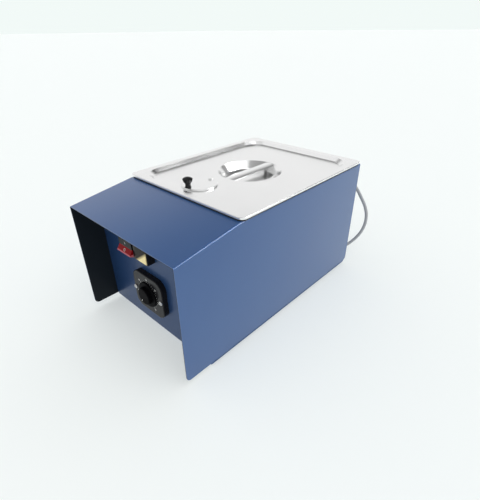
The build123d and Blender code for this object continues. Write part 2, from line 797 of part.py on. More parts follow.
def make_thermostat():
    """The capillary thermostat behind the panel."""
    case = Box(thermostat_width, thermostat_height, thermostat_length)
    case = fillet(case.edges().filter_by(Axis.Z), 3)
    body = Pos(0, 0, -thermostat_length / 2) * case
    body += Pos(0, 0, bush_length / 2) * Cylinder(bush_radius, bush_length)
    body -= Pos(0, 0, 0) * Cylinder(shaft_radius + shaft_clearance, thermostat_length + 2)
    for x in (-thermostat_screw_offset, thermostat_screw_offset):
        body -= Pos(x, 0, 0) * Cylinder(screw_radius + hole_clearance, 20)
    tab = Box(tab_sheet, tab_width, tab_length)
    tabs = [Pos(x, 0, -thermostat_length - tab_length / 2) * tab for x in (-16, -8)]
    collar = Pos(12, 8, -thermostat_length - 2) * Cylinder(4, 4)
    return turn_out(panel_in_y, control_x, control_z) * (body + tabs + collar)


def make_thermostat_screws():
    """The two screws that hold it to the panel, under the plate."""
    screw = pan_screw(screw_radius, screw_head_radius, screw_head, thermostat_screw_length)
    return [turn_out(panel_y, control_x + s * thermostat_screw_offset, control_z) * screw for s in (-1, 1)]


def bulb_y():
    return tank_y - mouth_length / 2 + bulb_from_tank_front


def make_bulb():
    """The liquid-filled sensing bulb, lying against the tank's floor."""
    z = tank_under - bulb_radius
    bulb = rod(bulb_radius, (-bulb_length / 2, bulb_y(), z), (bulb_length / 2, bulb_y(), z))
    return chamfer(bulb.edges().filter_by(GeomType.CIRCLE), bulb_radius / 2)


def make_bulb_clip():
    """The saddle clip that presses the bulb to the tank."""
    y, z, fit = bulb_y(), tank_under - bulb_radius, bulb_radius + clip_fit
    half, past = clip_length / 2, clip_length
    saddle = rod(bulb_radius + clip_sheet, (-half, y, z), (half, y, z))
    bridge = Box(clip_length, 2 * (bulb_radius + clip_sheet), bulb_radius)
    saddle += Pos(0, y, (z + tank_under) / 2) * bridge
    saddle -= rod(fit, (-past, y, z), (past, y, z))
    saddle -= Pos(0, y, tank_under - bulb_radius / 2) * Box(2 * past, 2 * fit, bulb_radius)
    ears = Box(clip_length, 2 * (bulb_radius + clip_ear), clip_sheet)
    ears -= Box(2 * past, 2 * fit, 2 * clip_sheet)
    saddle += Pos(0, y, tank_under - clip_sheet / 2) * ears
    return saddle - Pos(0, y, tank_under + past / 2) * Box(2 * past, 2 * past, past)


def make_capillary():
    """The thin copper tube from the thermostat to its bulb."""
    start_x, start_y = control_x + capillary_stub_x, panel_in_y + thermostat_length + capillary_stub_y
    start = Vector(start_x, start_y, control_z + capillary_stub_up)
    end = Vector(bulb_length / 2, bulb_y(), tank_under - bulb_radius)
    points = [
        start,
        start + Vector(0, capillary_straight, 0),
        (start.X + capillary_bow_x, start.Y + capillary_bow_y, start.Z - capillary_bow_drop),
        (end.X + capillary_turn_x, end.Y - capillary_turn_y, end.Z - capillary_turn_drop),
        (end.X + capillary_end_x, end.Y, end.Z),
        end,
    ]
    path = FilletPolyline(*points, radius=capillary_bend)
    return sweep(Plane(origin=start, z_dir=(0, 1, 0)) * Circle(capillary_radius), path=path)


def switch_body_size():
    """Outer width and height of the switch's body where it passes the panel."""
    return (rocker_width + 2 * (rocker_gap + switch_wall), switch_height)


def lamp_body_size():
    """The same of the pilot lamp's holder."""
    return (lamp_width - 2 * switch_wall, lamp_height - 2 * switch_wall)


def make_frame():
    """The black frame round the rocker and the pilot lamp."""
    width, height = frame_right - frame_left, frame_top - frame_bottom
    body = extrude(RectangleRounded(width, height, frame_corner), amount=frame_thickness)
    body = chamfer(body.faces().sort_by(Axis.Z)[-1].edges(), 0.6)
    frame = turn_out(panel_y, (frame_left + frame_right) / 2, (frame_bottom + frame_top) / 2) * body
    window_w, window_h = rocker_width + 2 * rocker_gap, 2 * (rocker_swing_radius + rocker_gap)
    frame -= Pos(rocker_x, panel_y, switch_z) * Box(window_w, 4 * frame_thickness, window_h)
    lamp_hole = Box(lamp_width + 2 * lamp_gap, 4 * frame_thickness, lamp_height + 2 * lamp_gap)
    frame -= Pos(lamp_x, panel_y, switch_z) * lamp_hole
    return frame - rocker_pins(rocker_gap / 2)


def make_switch_body():
    """The rocker switch's housing, open to the front, with its tabs behind."""
    width, height = switch_body_size()
    body = Pos(rocker_x, panel_y + switch_length / 2, switch_z) * Box(width, switch_length, height)
    cavity = Box(rocker_width + 2 * rocker_gap, rocker_swing_radius, switch_height - 2 * switch_wall)
    body -= Pos(rocker_x, panel_y + rocker_swing_radius / 2, switch_z) * cavity
    for side in (-1, 1):
        for z in (-5, 5):
            x = rocker_x + side * 7
            tab = Box(tab_width, tab_length, tab_sheet)
            body += Pos(x, panel_y + switch_length + tab_length / 2, switch_z + z) * tab
    return body


def rocker_outline():
    """The rocker seen from its end: two sloping faces, and end faces that are arcs about the pivot."""
    r = rocker_swing_radius
    tip_low = radians(rocker_half_angle + rocker_tilt)
    tip_high = radians(rocker_half_angle - rocker_tilt)
    back = radians(-40)
    low = (r * sin(tip_low), -r * cos(tip_low))
    high = (r * sin(tip_high), r * cos(tip_high))
    low_mid = (r * sin((tip_low + back) / 2), -r * cos((tip_low + back) / 2))
    high_mid = (r * sin((tip_high + back) / 2), r * cos((tip_high + back) / 2))
    low_back, high_back = (r * sin(back), -r * cos(back)), (r * sin(back), r * cos(back))
    web = (rocker_web * cos(radians(rocker_tilt)), -rocker_web * sin(radians(rocker_tilt)))
    lines = ThreePointArc(low_back, low_mid, low) + Line(low, web) + Line(web, high)
    return lines + ThreePointArc(high, high_mid, high_back) + Line(high_back, low_back)


def rocker_pins(grow):
    """The rocker's two pivot pins, or the holes they turn in when grown."""
    half = rocker_width / 2 + rocker_pin_length + grow
    y = panel_y - frame_thickness + rocker_pivot_in
    return rod(rocker_pin_radius + grow, (rocker_x - half, y, switch_z), (rocker_x + half, y, switch_z))


def make_rocker():
    """The red rocker, resting with its lower end out, with its pivot pins."""
    y = panel_y - frame_thickness + rocker_pivot_in
    axis = Plane(origin=(rocker_x, y, switch_z), x_dir=(0, -1, 0), z_dir=(-1, 0, 0))
    body = extrude(axis * make_face(rocker_outline()), amount=rocker_width / 2, both=True)
    return body + rocker_pins(0)


def make_lamp_lens():
    """The amber lens of the pilot lamp, a wedge that stands out further at its foot."""
    low, high = switch_z - lamp_height / 2, switch_z + lamp_height / 2
    out = panel_y - frame_thickness - lamp_proud_low
    side = Polyline(
        (panel_y, low), (out, low), (out, low + lamp_foot),
        (panel_y - frame_thickness - lamp_proud_high, high), (panel_y, high), close=True,
    )
    lens = extrude(make_face(Plane.YZ * side), amount=lamp_width / 2, both=True)
    lens = Pos(lamp_x, 0, 0) * lens
    return chamfer(lens.edges().group_by(Axis.Y)[0], 0.5)


def make_lamp_body():
    """The pilot lamp's holder behind the panel."""
    width, height = lamp_body_size()
    body = Pos(lamp_x, panel_y + lamp_body_length / 2, switch_z) * Box(width, lamp_body_length, height)
    for side in (-1, 1):
        body += Pos(lamp_x + side * 7, panel_y + lamp_body_length + 3, switch_z) * Box(0.8, 6, 4.8)
    return body


def terminal_screw_places():
    x = terminal_length / 2 - terminal_ear / 2
    return [(terminal_x + side * x, terminal_y) for side in (-1, 1)]


def make_terminal_block():
    """The terminal block on the base, where the mains lead and the inner wires meet."""
    middle = base_top + terminal_height / 2
    low = terminal_height * terminal_foot
    block = Pos(terminal_x, terminal_y, base_top + low / 2) * Box(terminal_length, terminal_width, low)
    pitch = (terminal_length - 2 * terminal_ear) / terminal_poles
    for i in range(terminal_poles):
        x = terminal_x + (i - (terminal_poles - 1) / 2) * pitch
        tower = Box(pitch - terminal_gap, terminal_width - 3 * terminal_gap, terminal_height)
        tower = Pos(x, terminal_y, middle) * tower
        well = Cylinder(terminal_well, terminal_height * 0.6)
        tower -= Pos(x, terminal_y, base_top + terminal_height) * well
        front, back = terminal_y - terminal_width, terminal_y + terminal_width
        tower -= rod(terminal_bore, (x, front, middle), (x, back, middle))
        block += tower
    for x, y in terminal_screw_places():
        block -= Pos(x, y, middle) * Cylinder(screw_radius + hole_clearance, 2 * terminal_height)
    return block


def make_terminal_screws():
    """The block's two fixing screws, driven from above into the base."""
    seat = base_top + terminal_height * terminal_foot
    screw = pan_screw(screw_radius, terminal_screw_head, screw_head, seat - foot_height)
    return [Pos(x, y, seat) * screw for x, y in terminal_screw_places()]


def make_earth_stud():
    """The earth stud with its nut and washer."""
    bore = earth_radius + hole_clearance
    stud = rod(earth_radius, (0, 0, foot_height - earth_head), (0, 0, base_top + earth_length))
    stud += Pos(0, 0, foot_height - earth_head / 2) * Cylinder(earth_head_radius, earth_head)
    ring = Cylinder(earth_washer_radius, earth_washer) - Cylinder(bore, 2 * earth_washer)
    washer = Pos(0, 0, base_top + earth_washer / 2) * ring
    nut = Pos(0, 0, base_top + earth_washer) * hex_nut(earth_nut_flats, earth_nut_height, bore)
    return [Pos(earth_x, earth_y, 0) * piece for piece in (stud, washer, nut)]


def make_relief():
    """The moulded strain relief of the mains lead: a flange, a neck through the panel and a tapered boot."""
    flange = Pos(0, 0, relief_flange / 2) * Cylinder(relief_flange_radius, relief_flange)
    flange = fillet(flange.edges().sort_by(Axis.Z)[-1], 1)
    boot_length = relief_length - relief_flange
    boot = Cone(relief_neck_radius, relief_tip_radius, boot_length)
    boot = Pos(0, 0, relief_flange + boot_length / 2) * boot
    neck_length = chassis_sheet + relief_nut_height + 0.5
    neck = Pos(0, 0, -neck_length / 2) * Cylinder(relief_neck_radius, neck_length)
    return turn_back(rear_panel_y, relief_x, relief_z) * (flange + boot + neck)


def make_relief_nut():
    """The nut that locks the strain relief from inside."""
    nut = hex_nut(relief_nut_flats, relief_nut_height, relief_neck_radius + hole_clearance)
    return turn_out(rear_in_y, relief_x, relief_z) * nut


# The lead's fall to the table: metres of it lie outwards of the relief and behind the case, and each height
# is a share of the relief's own height. Then its way from the winding to the plug.
lead_fall = [
    (0, 36, 1.0), (1.5, 49, 0.97), (5, 59.5, 0.91), (11.5, 66, 0.831), (20.5, 69.5, 0.738), (31, 71, 0.6415),
    (38, 70.5, 0.533), (40, 68, 0.4217), (36.5, 63, 0.31), (29, 56, 0.208), (18.5, 45.5, 0.1175),
    (6.5, 32.5, 0.0542), (-6, 20.5, 0.0241), (-20, 12, 0.0199),
]
tail_rise = [(-21, 0, 0), (-34, 0.21, 0.18), (-47, 0.63, 0.55), (-60, 0.93, 0.88), (-73, 1, 1)]


def lead_points():
    """Route of the lead from the strain relief down to the winding."""
    fall = [(relief_x + x, rear_y + y, max(cord_radius, share * relief_z)) for x, y, share in lead_fall]
    last = fall[-1][0]
    start = (relief_x, rear_panel_y + relief_length, relief_z)
    return [start] + fall + [(last - step, coil_front_y, cord_radius) for step in (15, 29)]


def tail_points():
    """Route from the winding to the plug's boot."""
    out, up = plug_axis_y - coil_front_y, plug_axis_z - coil_top_z
    rise = [(x, coil_front_y + a * out, coil_top_z + b * up) for x, a, b in tail_rise]
    return [(-8, coil_front_y, coil_top_z)] + rise + [(plug_start_x, plug_axis_y, plug_axis_z)]


def bend_radii(points):
    """The radius of each corner of a cord: as large as its two runs allow."""
    radii = []
    for a, b, c in zip(points, points[1:], points[2:]):
        before, after = Vector(*b) - Vector(*a), Vector(*c) - Vector(*b)
        turn = radians(before.get_angle(after))
        radii.append(0.45 * min(before.length, after.length) / tan(turn / 2))
    return radii


def cord_tube(points, name):
    """A stretch of the lead: straight runs joined by tangent arcs."""
    radii = bend_radii(points)
    path = FilletPolyline(*points, radius=radii)
    first = Vector(*points[1]) - Vector(*points[0])
    tube = sweep(Plane(origin=points[0], z_dir=first) * Circle(cord_radius), path=path)
    section = pi * cord_radius ** 2
    print(name, "length", round(path.length, 1), "smallest radius", round(min(radii), 1),
          "volume ratio", round(tube.volume / (section * path.length), 4))
    return tube


def make_coil():
    """The outer shape of the wound part of the lead, with its two ends where they leave the winding."""
    width, height = 2 * cord_radius * coil_columns, 2 * cord_radius * coil_rows
    section = Pos(coil_radius, height / 2) * RectangleRounded(width, height, cord_radius * 0.9)
    coil = Pos(coil_x, coil_y, 0) * revolve(Plane.XZ * section, Axis.Z)
    coil += rod(cord_radius - coil_inset, (coil_x, coil_front_y, cord_radius), lead_points()[-1])
    return coil + rod(cord_radius - coil_inset, (coil_x, coil_front_y, coil_top_z), tail_points()[0])


def make_plug():
    """The moulded plug: boot, shoulders and a round head with grip hollows and earth slots."""
    neck_end, shoulder_end = plug_boot, plug_boot + plug_shoulder
    end = shoulder_end + plug_head
    outline = Polyline(
        (0, 0), (4.6, 0), (6.2, 0.8 * neck_end), (9.0, neck_end), (13.0, neck_end + 0.5 * plug_shoulder),
        (plug_radius, shoulder_end), (plug_radius, end), (0, end), close=True,
    )
    body = revolve(make_face(Plane.XZ * outline), Axis.Z)
    body = fillet(body.edges().group_by(Axis.Z)[-1], 1.5)
    for side in (-1, 1):
        body -= Pos(0, side * (plug_radius + 0.5), end) * Box(5, 5, 2 * plug_head * 0.8)
        hollow = Pos(side * (plug_radius + 9), 0, neck_end + plug_shoulder * 0.5) * Sphere(15)
        body -= hollow
        body -= Pos(side * pin_pitch / 2, 0, end) * Cylinder(pin_radius + 0.05, 16)
    return plug_place() * body


def plug_place():
    """Where the plug lies: its boot meets the lead, its pins point along -X."""
    return Pos(plug_start_x, plug_axis_y, plug_axis_z) * Rot(0, -90, 0) * Rot(0, 0, 90)


def make_pins():
    """The two round pins of the plug."""
    end = plug_boot + plug_shoulder + plug_head
    pin = Pos(0, 0, end + (pin_length - 8) / 2) * Cylinder(pin_radius, pin_length + 8)
    pin = fillet(pin.edges().sort_by(Axis.Z)[-1], pin_radius * 0.8)
    return [plug_place() * Pos(s * pin_pitch / 2, 0, 0) * pin for s in (-1, 1)]


def back_screws():
    """Screws through the rear panel into the cover's flanges."""
    screw = pan_screw(screw_radius, screw_head_radius, screw_head, case_screw_length)
    return [turn_back(rear_panel_y, x, z) * screw for x, z in rear_screw_places()]


nodes = {
    "cover": make_cover(),
    "chassis": make_chassis(),
    "cover_brackets": make_brackets(),
    "feet": make_feet(),
    "base_screws": screws_up(base_screw_places(), foot_height, case_screw_length),
    "rear_screws": back_screws(),
    "tank": make_tank(),
    "tank_gasket": make_gasket(),
    "tank_shelf": make_shelf(),
    "heater_mat": make_mat(),
    "insulation_board": make_pad(),
    "insulation_band": make_band(),
    "carrier_plate": make_carrier(),
    "carrier_pillars": make_pillars(),
    "pillar_base_screws": screws_up(pillar_places(), foot_height, pillar_screw_length),
    "pillar_top_screws": make_pillar_top_screws(),
    "thermal_cutout": make_cutout(),
    "lid": make_lid(),
    "lid_handle": make_handle(),
    "cover_pivot": make_pivot(),
    "hole_cover": make_hole_cover(),
    "hole_cover_grip": make_grip(),
    "grip_screw": make_grip_screw(),
    "thermostat_plate": make_plate(),
    "plate_screws": make_plate_screws(),
    "plate_nuts": make_plate_nuts(),
    "thermostat_knob": make_knob(),
    "thermostat_shaft": make_shaft(),
    "thermostat": make_thermostat(),
    "thermostat_screws": make_thermostat_screws(),
    "sensing_bulb": make_bulb(),
    "bulb_clip": make_bulb_clip(),
    "capillary": make_capillary(),
    "switch_frame": make_frame(),
    "switch_body": make_switch_body(),
    "power_rocker": make_rocker(),
    "lamp_lens": make_lamp_lens(),
    "lamp_body": make_lamp_body(),
    "terminal_block": make_terminal_block(),
    "terminal_screws": make_terminal_screws(),
    "earth_stud": make_earth_stud(),
    "cord_relief": make_relief(),
    "relief_nut": make_relief_nut(),
    "mains_cord": cord_tube(lead_points(), "mains_cord"),
    "cord_coil": make_coil(),
    "cord_tail": cord_tube(tail_points(), "cord_tail"),
    "plug_body": make_plug(),
    "plug_pins": make_pins(),
}

for name, shape in nodes.items():
    solids = []
    for piece in shape if isinstance(shape, list) else [shape]:
        solids += piece.solids()
    export_step(Compound(children=[Solid(s.wrapped) for s in solids]), f"parts/{name}.step")
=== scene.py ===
from math import cos, pi, radians, sin

import bmesh
import bpy
from mathutils import Matrix, Vector


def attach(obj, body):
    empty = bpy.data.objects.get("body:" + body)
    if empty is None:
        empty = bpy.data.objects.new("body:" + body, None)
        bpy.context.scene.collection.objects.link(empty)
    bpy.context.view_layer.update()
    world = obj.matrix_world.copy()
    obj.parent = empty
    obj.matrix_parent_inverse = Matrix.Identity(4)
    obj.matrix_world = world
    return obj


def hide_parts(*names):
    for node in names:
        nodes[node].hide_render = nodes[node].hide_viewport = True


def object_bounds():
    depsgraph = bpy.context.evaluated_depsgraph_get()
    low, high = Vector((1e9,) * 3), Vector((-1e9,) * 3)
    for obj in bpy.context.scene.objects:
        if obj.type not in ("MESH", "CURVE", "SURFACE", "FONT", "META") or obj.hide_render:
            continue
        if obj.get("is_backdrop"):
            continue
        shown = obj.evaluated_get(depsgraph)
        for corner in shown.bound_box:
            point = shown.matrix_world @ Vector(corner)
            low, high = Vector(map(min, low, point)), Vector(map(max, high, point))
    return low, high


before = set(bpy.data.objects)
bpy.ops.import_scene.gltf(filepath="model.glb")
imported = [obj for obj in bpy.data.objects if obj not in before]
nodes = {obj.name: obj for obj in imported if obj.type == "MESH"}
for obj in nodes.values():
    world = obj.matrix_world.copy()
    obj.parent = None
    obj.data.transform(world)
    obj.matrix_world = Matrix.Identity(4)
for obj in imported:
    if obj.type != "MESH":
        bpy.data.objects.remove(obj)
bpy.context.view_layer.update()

scene = bpy.context.scene
scene.view_settings.view_transform = "Standard"

# The camera stands to the right of the bath and well above it, close enough for strong perspective.
# Its place, turn and focal length were fitted to the case's corners and to the lid's long edges.
azimuth, elevation, roll = radians(43.42), radians(31.21), radians(-0.58)
away = Vector((sin(azimuth) * cos(elevation), -cos(azimuth) * cos(elevation), sin(elevation)))
level = Vector((cos(azimuth), sin(azimuth), 0))
rise = away.cross(level)
right_hand = level * cos(roll) + rise * sin(roll)
upward = rise * cos(roll) - level * sin(roll)
camera_place = Vector((0.4241, -0.4199, 0.4377))
focal_pixels, frame_pixels, sensor_width = 366.8, 500, 36
camera = bpy.data.objects.new("camera", bpy.data.cameras.new("camera"))
scene.collection.objects.link(camera)
scene.camera = camera
camera.matrix_world = Matrix((
    (right_hand.x, upward.x, away.x, camera_place.x),
    (right_hand.y, upward.y, away.y, camera_place.y),
    (right_hand.z, upward.z, away.z, camera_place.z),
    (0, 0, 0, 1),
))
camera.data.sensor_width = sensor_width
camera.data.lens = focal_pixels * sensor_width / frame_pixels
camera.data.clip_start, camera.data.clip_end = 0.01, 100


# Mains lead: 6.5 mm grey PVC, from the strain relief down to the table, wound behind the case, then to
# its plug. One smooth spline follows the whole of it, two layers of three turns in the coil.
class Wire:
    """A value in a node tree. Python's operators on it add the nodes that work it out."""

    def __init__(self, owner, socket):
        self.owner, self.socket = owner, socket

    def operate(self, operation, first, second=0.0):
        return self.owner.node("ShaderNodeMath", {"operation": operation}, {0: first, 1: second})

    def __add__(self, other):
        return self.operate("ADD", self, other)

    def __sub__(self, other):
        return self.operate("SUBTRACT", self, other)

    def __rsub__(self, other):
        return self.operate("SUBTRACT", other, self)

    def __mul__(self, other):
        return self.operate("MULTIPLY", self, other)

    def __lt__(self, other):
        return self.operate("LESS_THAN", self, other)

    def __gt__(self, other):
        return self.operate("GREATER_THAN", self, other)

    def abs(self):
        return self.operate("ABSOLUTE", self)

    def clamp(self):
        return self.owner.node("ShaderNodeClamp", {}, {0: self})

    def ramp(self, low, high, from_value=0.0, to_value=1.0):
        """A straight run from one value to another between two places, level outside them."""
        inputs = {0: self, 1: low, 2: high, 3: from_value, 4: to_value}
        return self.owner.node("ShaderNodeMapRange", {"clamp": True}, inputs)


class NodeTree:
    """The nodes of a material or of the world, all of them added by one method."""

    def __init__(self, tree):
        self.tree = tree

    def node(self, kind, settings, inputs, output=0):
        made = self.tree.nodes.new(kind)
        for key, value in settings.items():
            setattr(made, key, value)
        for key, value in inputs.items():
            self.set(made.inputs[key], value)
        return Wire(self, made.outputs[output])

    def set(self, socket, value):
        if isinstance(value, Wire):
            self.tree.links.new(value.socket, socket)
        elif socket.type == "RGBA":
            socket.default_value = (*value, 1)
        else:
            socket.default_value = value


class Finish(NodeTree):
    """A surface finish: one material with a Principled shader, and the nodes that feed it."""

    def __init__(self, name, **constants):
        self.material = bpy.data.materials.new(name)
        self.material.use_nodes = True
        super().__init__(self.material.node_tree)
        self.shader = self.tree.nodes["Principled BSDF"]
        self.place = self.node("ShaderNodeTexCoord", {}, {}, "Object")
        self.feed(**constants)

    def feed(self, **inputs):
        for key, value in inputs.items():
            self.set(self.shader.inputs[key.replace("_", " ").title().replace("Ior", "IOR")], value)

    def noise(self, scale, detail=2.0, roughness=0.5, where=None):
        inputs = {"Vector": where or self.place, "Scale": scale, "Detail": detail, "Roughness": roughness}
        return self.node("ShaderNodeTexNoise", {"noise_dimensions": "3D"}, inputs)

    def stretched(self, x, y, z):
        """The object's own coordinates, scaled along each axis."""
        return self.node("ShaderNodeMapping", {}, {"Vector": self.place, "Scale": (x, y, z)})

    def axes(self):
        """The three parts of the object's own coordinates."""
        return [self.node("ShaderNodeSeparateXYZ", {}, {0: self.place}, i) for i in range(3)]

    def mix(self, share, first, second):
        return self.node("ShaderNodeMix", {"data_type": "RGBA"}, {0: share, 6: first, 7: second}, 2)

    def bump(self, height, distance, strength):
        inputs = {"Strength": strength, "Distance": distance, "Height": height}
        return self.node("ShaderNodeBump", {}, inputs)

    def coat(self, *names):
        for name in names:
            target = nodes.get(name) or bpy.data.objects[name]
            target.data.materials.clear()
            target.data.materials.append(self.material)


# The winding climbs to its second layer near the end of its third turn, and unwinds outwards from there.
cord_radius = 0.00325
cord_pitch = 0.0065
coil_x, coil_y = 0.018, 0.27325
coil_outer, coil_inner = 0.0455, 0.0260
steps_per_turn = 16
layer_turns = 3
climb_from_step, climb_steps = 46, 5


def turn(turned, radius, height):
    """A corner of the coil's control line, which stands outside the curve that it makes."""
    angle, reach = 2 * pi * turned, radius / cos(pi / steps_per_turn)
    return (coil_x - reach * sin(angle), coil_y - reach * cos(angle), height)


lead = [
    (0.093, 0.243, 0.166), (0.093, 0.256, 0.166), (0.0945, 0.269, 0.161), (0.098, 0.2795, 0.151),
    (0.1045, 0.286, 0.138), (0.1135, 0.2895, 0.1225), (0.124, 0.291, 0.1065), (0.1306, 0.2905, 0.0885),
    (0.1323, 0.288, 0.070), (0.1295, 0.283, 0.0515), (0.122, 0.276, 0.0345), (0.1115, 0.2655, 0.0195),
    (0.0995, 0.2525, 0.009), (0.087, 0.2405, 0.004), (0.073, 0.232, 0.0033), (0.058, 0.22775, 0.00325),
    (0.044, 0.22775, 0.00325), (0.031, 0.2277, 0.00325),
]
for step in range(1, 2 * layer_turns * steps_per_turn):
    turned = step / steps_per_turn
    layer = min(max((step - climb_from_step) / climb_steps, 0), 1)
    if turned <= layer_turns:
        radius = coil_outer - cord_pitch * turned
    else:
        radius = coil_inner + cord_pitch * (turned - layer_turns)
    lead.append(turn(turned, radius, cord_radius + cord_pitch * layer))
lead += [
    (0.018, 0.2272, 0.00975), (0.005, 0.22775, 0.00975), (-0.008, 0.22775, 0.00975),
    (-0.021, 0.22775, 0.00975), (-0.034, 0.231, 0.0114), (-0.047, 0.2374, 0.0148),
    (-0.060, 0.242, 0.0179), (-0.073, 0.243, 0.019), (-0.086, 0.243, 0.019),
]
lead_curve = bpy.data.curves.new("mains_lead", "CURVE")
lead_curve.dimensions = "3D"
lead_curve.bevel_depth = 1
lead_curve.bevel_resolution = 5
lead_curve.resolution_u = 6
lead_curve.use_fill_caps = True
lead_spline = lead_curve.splines.new("NURBS")
lead_spline.points.add(len(lead) - 1)
for point, place in zip(lead_spline.points, lead):
    point.co = (*place, 1)
    point.radius = cord_radius
lead_spline.order_u = 3
lead_spline.use_endpoint_u = True
mains_lead = bpy.data.objects.new("mains_lead", lead_curve)
scene.collection.objects.link(mains_lead)
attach(mains_lead, "case")
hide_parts("mains_cord", "cord_coil", "cord_tail")
pvc = Finish("grey_pvc", Roughness=0.42, Specular_Ior_Level=0.4)
pvc_grain = pvc.noise(900, 3)
pvc.feed(Base_Color=pvc.mix(pvc.noise(40, 2), (0.40, 0.41, 0.43), (0.34, 0.35, 0.37)),
         Normal=pvc.bump(pvc_grain, 0.0002, 0.25))
pvc.coat("mains_lead", "plug_body", "cord_relief")

# Floor: a white table that runs on without an edge, so only the bath's own soft shadow marks it. The light
# is an evenly bright room with one broad soft source overhead. Bare metal mirrors that room's low bright
# walls, its dim upper part and three windows: high on the left, on the right, and a dim one at the rear.
floor_half_width, floor_below = 60, 0.0004
floor_mesh = bmesh.new()
bmesh.ops.create_grid(floor_mesh, x_segments=1, y_segments=1, size=floor_half_width)
floor_data = bpy.data.meshes.new("floor")
floor_mesh.to_mesh(floor_data)
floor_mesh.free()
floor = bpy.data.objects.new("floor", floor_data)
floor.location.z = -floor_below
scene.collection.objects.link(floor)
floor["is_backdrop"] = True
table = Finish("table_white", Base_Color=(0.50, 0.52, 0.515), Roughness=0.7, Specular_Ior_Level=0.1,
               Emission_Color=(0.40, 0.42, 0.418), Emission_Strength=1.0)
floor.data.materials.append(table.material)

sun = bpy.data.lights.new("top_light", "SUN")
sun.angle, sun.energy = radians(45), 0.45
top_light = bpy.data.objects.new("top_light", sun)
top_light.rotation_euler = Vector((0.55, 0.05, 1.0)).to_track_quat("Z", "Y").to_euler()
scene.collection.objects.link(top_light)

room = bpy.data.worlds.new("studio")
scene.world = room
room.use_nodes = True
sky = NodeTree(room.node_tree)
toward = sky.node("ShaderNodeTexCoord", {}, {}, "Generated")
height = sky.node("ShaderNodeSeparateXYZ", {}, {0: toward}, 2)
brightness = sky.node("ShaderNodeValToRGB", {}, {0: height})
band_ramp = brightness.socket.node.color_ramp
bands = [(0.0, 1.0), (0.46, 1.0), (0.60, 0.34), (0.86, 0.34), (0.93, 0.75), (1.0, 0.85)]
for _ in bands[2:]:
    band_ramp.elements.new(0.5)
for element, (at, grey) in zip(band_ramp.elements, bands):
    element.position, element.color = at, (grey, grey, grey, 1)
# A dark patch and three windows: middle, cosines at its edge and where it is full, its grey, and which wins.
for middle, edge, core, grey, choose in (
    ((0.17, 0.63, 0.76), 0.80, 0.90, 0.10, "MINIMUM"),
    ((0.17, 0.63, 0.76), 0.965, 0.985, 0.24, "MAXIMUM"),
    ((-0.54, -0.15, 0.83), 0.93, 0.97, 1.0, "MAXIMUM"),
    ((0.58, 0.50, 0.64), 0.945, 0.965, 10.0, "MAXIMUM"),
):
    facing = sky.node("ShaderNodeVectorMath", {"operation": "DOT_PRODUCT"}, {0: toward, 1: middle}, "Value")
    outside = 1.0 if choose == "MINIMUM" else 0.0
    brightness = brightness.operate(choose, brightness, facing.ramp(edge, core, outside, grey))

# Mirrors see that banded room, every other surface an even white one, and the camera a plain pale backdrop.
mirror_strength, room_strength = 0.95, 0.93
glow = room.node_tree.nodes["Background"]
sky.set(glow.inputs[0], brightness)
sky.set(glow.inputs[1], mirror_strength)
even = sky.node("ShaderNodeBackground", {}, {0: (1, 1, 1), 1: room_strength})
backdrop = sky.node("ShaderNodeBackground", {}, {0: (0.89, 0.955, 0.935)})
glossy_ray = sky.node("ShaderNodeLightPath", {}, {}, "Is Glossy Ray")
camera_ray = sky.node("ShaderNodeLightPath", {}, {}, "Is Camera Ray")
light = sky.node("ShaderNodeMixShader", {}, {0: glossy_ray, 1: even, 2: Wire(sky, glow.outputs[0])})
light = sky.node("ShaderNodeMixShader", {}, {0: camera_ray, 1: light, 2: backdrop})
sky.set(room.node_tree.nodes["World Output"].inputs[0], light)

# Case: cover and chassis are folded from 1.5 mm steel sheet and powder coated in a metallic mid blue under
# a clear gloss. The cover's inside is rougher, nearly without the clear gloss, and painted near-black as
# painted shade, so the hood is nearly black underneath.
blue = Finish("blue_paint", Metallic=0.30, Specular_Ior_Level=0.3, Coat_Roughness=0.10)
across, along, up = blue.axes()
# The inside lies between the sides, under the roof, over the base and clear of the panel, whose front keeps
# the outside's colour and is a little darker, since the hood shades it.
case_top, hood_start, hood_length, hood_drop, under_roof = 0.219, -0.107, 0.113, 0.0165, 0.0008
inner_side, base_top, rear_panel = 0.1292, 0.0052, 0.2145
panel_front, panel_face, panel_back = -0.1742, -0.1728, -0.1715
roof = case_top - (hood_start - along).ramp(0, hood_length, 0, hood_drop) - under_roof
between_sides = (across.abs() < inner_side) * (up < roof)
clear_of_panel = ((along < panel_front) + (along > panel_back)).clamp()
inside = between_sides * (up > base_top) * (along < rear_panel) * clear_of_panel
front_panel = between_sides * (along > panel_front) * (along < panel_face)
flake = blue.noise(2600, 1)
cloud = blue.noise(7, 3)
dark_patches = blue.mix(flake, (0.024, 0.082, 0.238), (0.032, 0.100, 0.276))
light_patches = blue.mix(flake, (0.028, 0.090, 0.250), (0.038, 0.110, 0.288))
outside_colour = blue.mix(cloud.ramp(0.35, 0.65), dark_patches, light_patches)
# Painted shade: the inside of the cover is coloured near-black.
painted_inside_shade = blue.mix(cloud, (0.002, 0.006, 0.011), (0.005, 0.010, 0.016))
blue.feed(
    Base_Color=blue.mix(inside, blue.mix(front_panel * 0.5, outside_colour, (0.001, 0.004, 0.018)),
                        painted_inside_shade),
    Roughness=cloud.ramp(0.3, 0.7, 0.34, 0.42) + inside * 0.3,
    Coat_Weight=0.85 - inside * 0.82 - front_panel * 0.70,
    Normal=blue.bump(blue.noise(380, 2), 0.00010, 0.30),
)
blue.coat("cover", "chassis")

